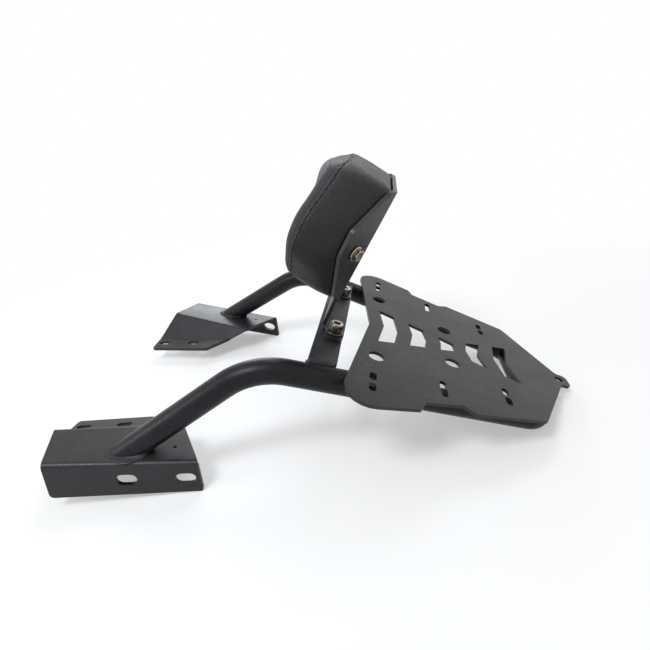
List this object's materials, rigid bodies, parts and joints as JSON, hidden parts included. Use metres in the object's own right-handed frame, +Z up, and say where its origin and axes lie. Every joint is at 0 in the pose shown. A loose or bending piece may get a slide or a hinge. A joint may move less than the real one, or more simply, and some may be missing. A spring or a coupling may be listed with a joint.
{
  "type": "motorbike luggage rack with backrest",
  "caption": "Black motorbike luggage rack: bent tube with a slotted flat plate, folded side brackets and a padded passenger backrest.",
  "frame": {"origin": "on the ground under the middle of the rack's bounding box", "axes": "+X to the bike's rear, -X to the seat, +Y to the right side, +Z up; the rack stands on its side brackets and rear tube"},
  "size_m": [0.4942, 0.3464, 0.2433],
  "materials": {
    "black_powder_coat": "satin black powder coat",
    "black_leather": "fine-grained black leatherette",
    "black_board": "plain black board",
    "zinc_plated_steel": "bright zinc plating"
  },
  "bodies": {
    "root": {"rail_hoop": "black_powder_coat", "rack_plate": "black_powder_coat", "cross_bar": "black_powder_coat", "backrest_bracket": "black_powder_coat", "cushion_board": "black_board", "cushion": "black_leather", "side_bracket_left": "black_powder_coat", "foot_weld_left": "black_powder_coat", "bar_weld_left": "black_powder_coat", "plate_weld_front_left": "black_powder_coat", "plate_weld_rear_left": "black_powder_coat", "foot_screw_left": "zinc_plated_steel", "foot_washer_left": "zinc_plated_steel", "under_washer_left": "zinc_plated_steel", "foot_nut_left": "zinc_plated_steel", "pad_bolt_left": "zinc_plated_steel", "pad_washer_left": "zinc_plated_steel", "pad_insert_left": "zinc_plated_steel", "side_bracket_right": "black_powder_coat", "foot_weld_right": "black_powder_coat", "bar_weld_right": "black_powder_coat", "plate_weld_front_right": "black_powder_coat", "plate_weld_rear_right": "black_powder_coat", "foot_screw_right": "zinc_plated_steel", "foot_washer_right": "zinc_plated_steel", "under_washer_right": "zinc_plated_steel", "foot_nut_right": "zinc_plated_steel", "pad_bolt_right": "zinc_plated_steel", "pad_washer_right": "zinc_plated_steel", "pad_insert_right": "zinc_plated_steel"}
  },
  "joints": []
}
